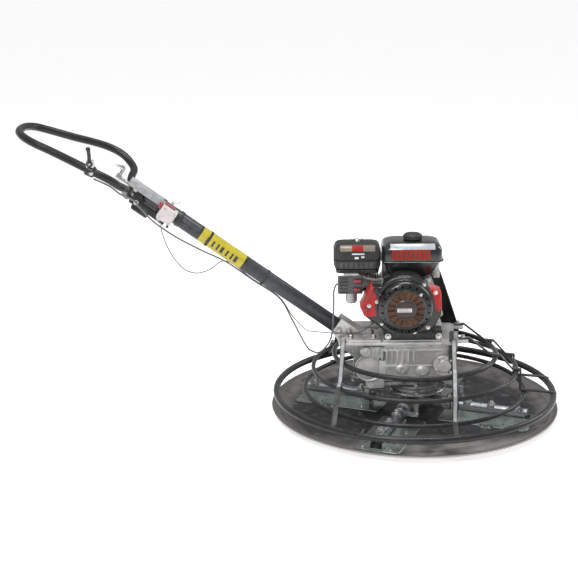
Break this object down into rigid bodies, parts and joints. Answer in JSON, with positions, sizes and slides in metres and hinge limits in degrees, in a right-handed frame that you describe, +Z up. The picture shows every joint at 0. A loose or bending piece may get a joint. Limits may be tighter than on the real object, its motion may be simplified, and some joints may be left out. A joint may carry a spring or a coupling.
{
  "type": "walk-behind power trowel",
  "caption": "Walk-behind power trowel: a petrol engine and a belt-driven worm gearbox turn pitched blades over a round float pan, inside a ring guard, steered by a sloping handle.",
  "frame": {"origin": "centre of the float pan's flat underside, on the rotor's axis", "axes": "+Z up; the handle runs toward -X, the recoil starter faces -Y and the belt drive is on the +Y side"},
  "size_m": [1.7521, 0.95, 0.9718],
  "materials": {
    "satin_black": "satin black paint on tube and plate",
    "red_paint": "glossy red paint on the fan housing",
    "grey_paint": "dark grey paint with a slight sheen",
    "cast_aluminium": "rough cast aluminium",
    "bright_steel": "machined and zinc-plated steel",
    "galvanised": "galvanised steel",
    "rolled_steel": "dark rolled steel, scuffed by concrete",
    "cast_iron": "bare cast iron",
    "bronze": "bronze gear rim",
    "black_plastic": "black moulded plastic with a fine grain",
    "white_plastic": "off-white switch housing",
    "red_plastic": "red moulded knobs and buttons",
    "black_rubber": "black rubber and cable sheath"
  },
  "bodies": {
    "root": {"engine_deck": "satin_black", "crankcase": "cast_aluminium", "crankcase_cover": "cast_aluminium", "cylinder_and_head": "cast_aluminium", "rocker_cover": "bright_steel", "fan_shroud": "red_paint", "recoil_cover": "satin_black", "fuel_tank": "satin_black", "air_cleaner_cover": "black_plastic", "carburettor": "cast_aluminium", "muffler": "bright_steel", "gearbox_housing": "cast_aluminium", "gearbox_cover": "cast_aluminium", "output_bearing": "bright_steel", "input_bearing": "bright_steel", "v_belt": "black_rubber", "belt_guard": "satin_black", "guard_ring_outer": "satin_black", "guard_ring_lower": "satin_black", "guard_ring_middle": "satin_black", "guard_ring_top": "satin_black", "handle_bracket": "cast_aluminium", "handle_tube": "grey_paint", "handlebar_loop": "satin_black", "stop_switch_box": "white_plastic", "throttle_cable": "black_rubber", "stop_wire": "black_rubber"},
    "rotor": {"spider_hub": "cast_iron", "output_shaft": "bright_steel", "worm_wheel": "bronze"},
    "arm_1": {"arm_1": "galvanised", "blade_1": "galvanised"},
    "arm_2": {"arm_2": "galvanised", "blade_2": "galvanised"},
    "arm_3": {"arm_3": "galvanised", "blade_3": "galvanised"},
    "arm_4": {"arm_4": "galvanised", "blade_4": "galvanised"},
    "pan": {"float_pan": "rolled_steel"},
    "pressure_plate": {"pressure_plate": "bright_steel"},
    "thrust_collar": {"thrust_collar": "cast_iron"},
    "yoke": {"yoke": "cast_iron"},
    "lift_rod": {"lift_rod": "bright_steel"},
    "cable_sheave": {"cable_sheave": "bright_steel"},
    "pitch_nut": {"pitch_nut": "bright_steel"},
    "pitch_screw": {"pitch_screw": "bright_steel"},
    "input_shaft": {"worm_shaft": "bright_steel", "driven_pulley": "bright_steel"},
    "crank": {"crankshaft": "bright_steel", "flywheel": "cast_aluminium", "clutch_drum_pulley": "bright_steel"},
    "starter_pulley": {"starter_pulley": "black_plastic"},
    "recoil_grip": {"recoil_grip": "black_plastic"},
    "engine_switch": {"engine_switch": "red_plastic"},
    "fuel_cap": {"fuel_cap": "black_plastic"},
    "choke_lever": {"choke_lever": "red_plastic"},
    "fuel_valve_lever": {"fuel_valve_lever": "red_plastic"},
    "throttle_arm": {"throttle_arm": "bright_steel"},
    "throttle_lever": {"throttle_lever": "black_plastic"},
    "stop_button": {"stop_button": "red_plastic"}
  },
  "joints": [
    {"name": "rotor_spin", "type": "hinge", "parent": "root", "child": "rotor", "pos_m": [0, 0, 0], "axis": [0, 0, 1], "continuous": true},
    {"name": "input_shaft_spin", "type": "hinge", "parent": "root", "child": "input_shaft", "pos_m": [0.088, 0, 0.19], "axis": [0, -1, 0], "continuous": true},
    {"name": "crankshaft_spin", "type": "hinge", "parent": "root", "child": "crank", "pos_m": [-0.045, 0, 0.405], "axis": [0, -1, 0], "continuous": true},
    {"name": "pan_slide", "type": "slide", "parent": "rotor", "child": "pan", "axis": [0, 0, -1], "range_m": [0, 0.0253]},
    {"name": "arm_1_pitch", "type": "hinge", "parent": "rotor", "child": "arm_1", "pos_m": [0, 0, 0.042], "axis": [-0.9272, 0.3746, 0], "range_deg": [0, 20.2]},
    {"name": "arm_2_pitch", "type": "hinge", "parent": "rotor", "child": "arm_2", "pos_m": [0, 0, 0.042], "axis": [-0.3746, -0.9272, 0], "range_deg": [0, 20.2]},
    {"name": "arm_3_pitch", "type": "hinge", "parent": "rotor", "child": "arm_3", "pos_m": [0, 0, 0.042], "axis": [0.9272, -0.3746, 0], "range_deg": [0, 20.2]},
    {"name": "arm_4_pitch", "type": "hinge", "parent": "rotor", "child": "arm_4", "pos_m": [0, 0, 0.042], "axis": [0.3746, 0.9272, 0], "range_deg": [0, 20.2]},
    {"name": "pressure_plate_slide", "type": "slide", "parent": "rotor", "child": "pressure_plate", "axis": [0, 0, -1], "range_m": [0, 0.0201]},
    {"name": "thrust_collar_slide", "type": "slide", "parent": "root", "child": "thrust_collar", "axis": [0, 0, -1], "range_m": [0, 0.0201]},
    {"name": "yoke_swing", "type": "hinge", "parent": "root", "child": "yoke", "pos_m": [-0.15, 0, 0.12], "axis": [0, 1, 0], "range_deg": [0, 7.8]},
    {"name": "lift_rod_slide", "type": "slide", "parent": "root", "child": "lift_rod", "axis": [0, 0, 1], "range_m": [0, 0.0068]},
    {"name": "cable_sheave_turn", "type": "hinge", "parent": "root", "child": "cable_sheave", "pos_m": [-0.22, 0, 0.2465], "axis": [0, -1, 0], "range_deg": [0, 20.2]},
    {"name": "pitch_nut_slide", "type": "slide", "parent": "root", "child": "pitch_nut", "axis": [-0.8118, 0, 0.5839], "range_m": [0, 0.0068]},
    {"name": "pitch_crank_turn", "type": "hinge", "parent": "root", "child": "pitch_screw", "pos_m": [-0.84747, 0, 0.72211], "axis": [-0.8118, 0, 0.5839], "range_deg": [0, 402]},
    {"name": "throttle_lever_swing", "type": "hinge", "parent": "root", "child": "throttle_lever", "pos_m": [-1.02, -0.2178, 0.8905], "axis": [0, -1, 0], "range_deg": [0, 60]},
    {"name": "throttle_arm_swing", "type": "hinge", "parent": "root", "child": "throttle_arm", "pos_m": [-0.2403, -0.066, 0.47], "axis": [1, 0, 0], "range_deg": [0, 50.2]},
    {"name": "choke_lever_swing", "type": "hinge", "parent": "root", "child": "choke_lever", "pos_m": [-0.202, -0.0903, 0.476], "axis": [0, 1, 0], "range_deg": [0, 75]},
    {"name": "fuel_valve_swing", "type": "hinge", "parent": "root", "child": "fuel_valve_lever", "pos_m": [-0.202, -0.0903, 0.448], "axis": [0, 1, 0], "range_deg": [0, 75]},
    {"name": "engine_switch_turn", "type": "hinge", "parent": "root", "child": "engine_switch", "pos_m": [-0.168, -0.1353, 0.392], "axis": [0, -1, 0], "range_deg": [0, 45]},
    {"name": "fuel_cap_turn", "type": "hinge", "parent": "root", "child": "fuel_cap", "pos_m": [-0.012, 0.01, 0.592], "axis": [0, 0, 1], "range_deg": [0, 90]},
    {"name": "recoil_grip_pull", "type": "slide", "parent": "root", "child": "recoil_grip", "axis": [-0.6198, 0, 0.7848], "range_m": [0, 0.14], "stiffness_N_per_m": 60, "springref_m": -0.1},
    {"name": "starter_pulley_turn", "type": "hinge", "parent": "root", "child": "starter_pulley", "pos_m": [-0.045, -0.148, 0.405], "axis": [0, 1, 0], "range_deg": [0, 202]},
    {"name": "stop_button_press", "type": "slide", "parent": "root", "child": "stop_button", "axis": [0.8118, 0, -0.5839], "range_m": [0, 0.004], "stiffness_N_per_m": 500, "springref_m": -0.004}
  ],
  "couplings": [
    {"joint": "input_shaft_spin", "follows": "rotor_spin", "ratio": 17},
    {"joint": "crankshaft_spin", "follows": "rotor_spin", "ratio": 27.2},
    {"joint": "arm_1_pitch", "follows": "pan_slide", "rad_per_m": 13.793},
    {"joint": "arm_2_pitch", "follows": "pan_slide", "rad_per_m": 13.793},
    {"joint": "arm_3_pitch", "follows": "pan_slide", "rad_per_m": 13.793},
    {"joint": "arm_4_pitch", "follows": "pan_slide", "rad_per_m": 13.793},
    {"joint": "pressure_plate_slide", "follows": "pan_slide", "ratio": 0.78621},
    {"joint": "thrust_collar_slide", "follows": "pan_slide", "ratio": 0.78621},
    {"joint": "yoke_swing", "follows": "pan_slide", "rad_per_m": 5.2414},
    {"joint": "lift_rod_slide", "follows": "pan_slide", "ratio": 0.26207},
    {"joint": "cable_sheave_turn", "follows": "pan_slide", "rad_per_m": 13.103},
    {"joint": "pitch_nut_slide", "follows": "pan_slide", "ratio": 0.26207},
    {"joint": "pitch_crank_turn", "follows": "pan_slide", "rad_per_m": 274.44},
    {"joint": "throttle_arm_swing", "follows": "throttle_lever_swing", "ratio": 0.83333},
    {"joint": "starter_pulley_turn", "follows": "recoil_grip_pull", "rad_per_m": 25}
  ]
}
